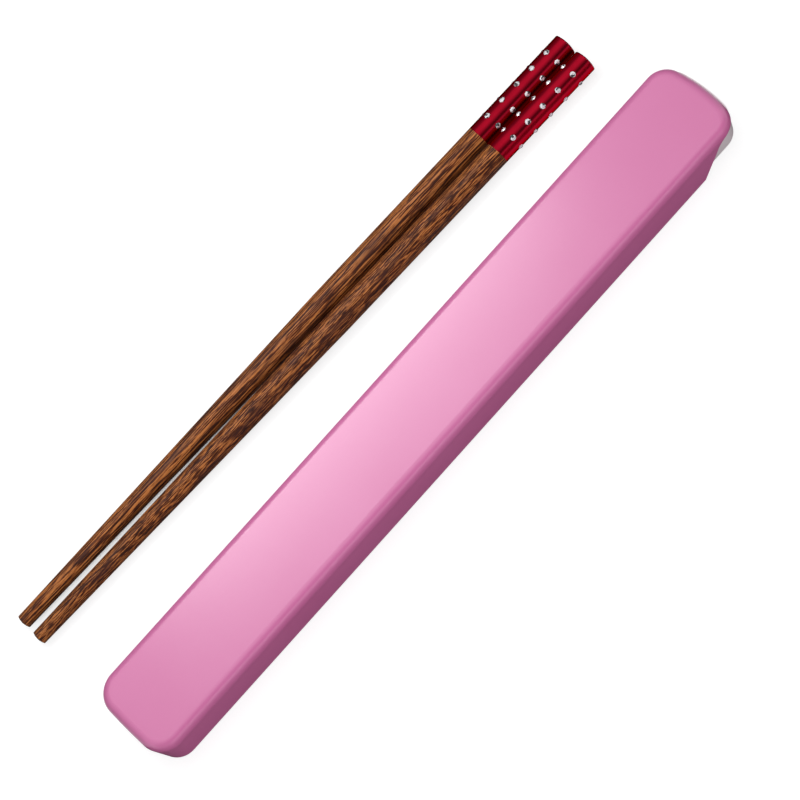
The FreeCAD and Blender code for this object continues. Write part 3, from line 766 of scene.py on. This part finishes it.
# Grey of the tent by its angle in degrees from straight up, plus towards the near side.
TENT_GREYS = (
    (-95, 0.2), (-68, 0.26), (-50, 0.36), (-34, 0.85), (-2, 0.95), (18, 0.5), (30, 0.12),
    (47, 0.1), (54, 0.75), (64, 0.75), (72, 0.35), (86, 0.25), (95, 0.05))
TENT_RADIUS, TENT_HALF, TENT_FOOT, TENT_STEPS = 0.9, 2.0, 95.0, 38


def glowing_material(name):
    """A black material that gives off an even light."""
    material, tree, shader = new_material(name)
    shader.inputs["Base Color"].default_value = opaque((0.0, 0.0, 0.0))
    shader.inputs["Specular IOR Level"].default_value = 0.0
    shader.inputs["Emission Strength"].default_value = 1.0
    return material, tree, shader


def reflection_only(item):
    """Hides a studio piece from everything but reflections."""
    for ray in ("camera", "diffuse", "transmission", "volume_scatter", "shadow"):
        setattr(item, f"visible_{ray}", False)


def make_card(name, first_y, last_y, grey):
    """A grey card flat on the floor that only reflections see."""
    material, _, shader = glowing_material(name)
    shader.inputs["Emission Color"].default_value = opaque((grey,) * 3)
    reflection_only(flat_piece(name, CARD_HALF, first_y, last_y, CARD_LEVEL, material))


def make_tent():
    """A half round tent along X that only reflections see, its grey changing with the angle."""
    material, tree, shader = glowing_material("Tent")
    place = add_node(tree, "ShaderNodeSeparateXYZ", {0: own_place(tree)})
    near = maths(tree, "MULTIPLY", place.outputs[1], -1.0)
    angle = maths(tree, "ARCTAN2", near, place.outputs[2])
    low, high = math.radians(-TENT_FOOT), math.radians(TENT_FOOT)
    ramp = tree.nodes.new("ShaderNodeValToRGB")
    tree.links.new(remap(tree, angle, low, high, shape="LINEAR"), ramp.inputs[0])
    stops = ramp.color_ramp.elements
    while len(stops) < len(TENT_GREYS):
        stops.new(0.5)
    for stop, (degrees, grey) in zip(stops, TENT_GREYS):
        stop.position = (degrees + TENT_FOOT) / (2 * TENT_FOOT)
        stop.color = opaque((grey,) * 3)
    tree.links.new(ramp.outputs[0], shader.inputs["Emission Color"])
    points = []
    for step in range(TENT_STEPS + 1):
        angle = math.radians(-TENT_FOOT + 2 * TENT_FOOT * step / TENT_STEPS)
        for x in (-TENT_HALF, TENT_HALF):
            points.append((x, -TENT_RADIUS * math.sin(angle), TENT_RADIUS * math.cos(angle)))
    faces = [(2 * step, 2 * step + 1, 2 * step + 3, 2 * step + 2) for step in range(TENT_STEPS)]
    reflection_only(stage_mesh("tent", points, faces, material))


# Operators

class CASE_OT_cover(Operator):
    """Finish the pink sliding cover"""
    bl_idname = "chopstick_case.cover"
    bl_label = "Cover"

    def execute(self, context):
        finish = context.scene.case_finish
        finish_node("lid", plastic_material("Pink cover plastic", finish.cover, COVER))
        return {"FINISHED"}


class CASE_OT_tray(Operator):
    """Finish the pale tray"""
    bl_idname = "chopstick_case.tray"
    bl_label = "Tray"

    def execute(self, context):
        finish = context.scene.case_finish
        finish_node("tray", plastic_material("Pale tray plastic", finish.tray, TRAY))
        return {"FINISHED"}


class CASE_OT_shafts(Operator):
    """Finish the two wooden shafts"""
    bl_idname = "chopstick_case.shafts"
    bl_label = "Wooden shafts"

    def execute(self, context):
        finish = context.scene.chopstick_finish
        for stick in STICKS:
            axes = stick_axes(stick, context.scene.stone_setting)
            finish_node(f"shaft_{stick}",
                        wood_material(f"Wood {stick}", axes, FIGURES[stick], finish))
        return {"FINISHED"}


class CASE_OT_sleeves(Operator):
    """Finish the two red metal sleeves"""
    bl_idname = "chopstick_case.sleeves"
    bl_label = "Metal sleeves"

    def execute(self, context):
        finish = context.scene.chopstick_finish
        for stick in STICKS:
            axes = stick_axes(stick, context.scene.stone_setting)
            finish_node(f"sleeve_{stick}", sleeve_material(f"Red metal {stick}", axes, finish))
        return {"FINISHED"}


class CASE_OT_stones(Operator):
    """Set the stones in both sleeves"""
    bl_idname = "chopstick_case.stones"
    bl_label = "Stones"

    def execute(self, context):
        setting = context.scene.stone_setting
        builder = StoneTree()
        for stick in STICKS:
            axes = stick_axes(stick, setting)
            values = {name: getattr(setting, name) for name in StoneTree.SIZES}
            values.update(rows=STONE_ROWS, in_row=STONES_IN_ROW, facets=setting.facets,
                          place=axes.to_translation(), turn=axes.to_euler("XYZ"),
                          material=stone_material(f"Cut stone {stick}", axes))
            piece = evaluated_piece(f"stones_{stick}", builder.tree, builder.ids, values)
            stones = [f"stone_{stick}_{row}_{place}" for row in range(1, STONE_ROWS + 1)
                      for place in range(1, STONES_IN_ROW + 1)]
            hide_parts(*stones)
            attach(piece, f"chopstick_{stick}")
        return {"FINISHED"}


class CASE_OT_stage(Operator):
    """Make the camera, the floor and the studio light"""
    bl_idname = "chopstick_case.stage"
    bl_label = "Stage"

    def execute(self, context):
        settings = context.scene.studio_settings
        context.scene.view_settings.view_transform = "Standard"
        make_camera()
        make_floor(settings)
        make_world(settings)
        make_tent()
        for card in CARDS:
            make_card(*card)
        lamps = {name: make_lamp(name.capitalize(), lamp, getattr(settings, name))
                 for name, lamp in LAMPS.items()}
        keep_off(lamps["strip"], [frame["nodes"][f"sleeve_{stick}"] for stick in STICKS])
        return {"FINISHED"}


class CASE_PT_panel(Panel):
    """Buttons and settings for the chopstick case"""
    bl_idname = "CASE_PT_panel"
    bl_label = "Chopstick case"
    bl_space_type = "VIEW_3D"
    bl_region_type = "UI"
    bl_category = "Chopstick case"

    def draw(self, context):
        layout = self.layout
        for operator in OPERATORS:
            layout.operator(operator.bl_idname)
        for name in SETTINGS:
            settings = getattr(context.scene, name)
            box = layout.box()
            box.label(text=settings.bl_rna.name)
            for key in settings.bl_rna.properties.keys():
                if key not in {"rna_type", "name"}:
                    box.prop(settings, key)


SETTINGS = {
    "case_finish": CaseFinish,
    "chopstick_finish": ChopstickFinish,
    "stone_setting": StoneSetting,
    "studio_settings": StudioSettings,
}
OPERATORS = (CASE_OT_cover, CASE_OT_tray, CASE_OT_shafts, CASE_OT_sleeves, CASE_OT_stones,
             CASE_OT_stage)
CLASSES = (*SETTINGS.values(), *OPERATORS, CASE_PT_panel)


def register():
    for item in CLASSES:
        bpy.utils.register_class(item)
    for name, settings in SETTINGS.items():
        setattr(bpy.types.Scene, name, PointerProperty(type=settings))


def unregister():
    for name in SETTINGS:
        delattr(bpy.types.Scene, name)
    for item in reversed(CLASSES):
        bpy.utils.unregister_class(item)


def main():
    register()
    bpy.ops.chopstick_case.cover()
    bpy.ops.chopstick_case.tray()
    bpy.ops.chopstick_case.shafts()
    bpy.ops.chopstick_case.sleeves()
    bpy.ops.chopstick_case.stones()
    bpy.ops.chopstick_case.stage()


if __name__ == "__main__":
    main()
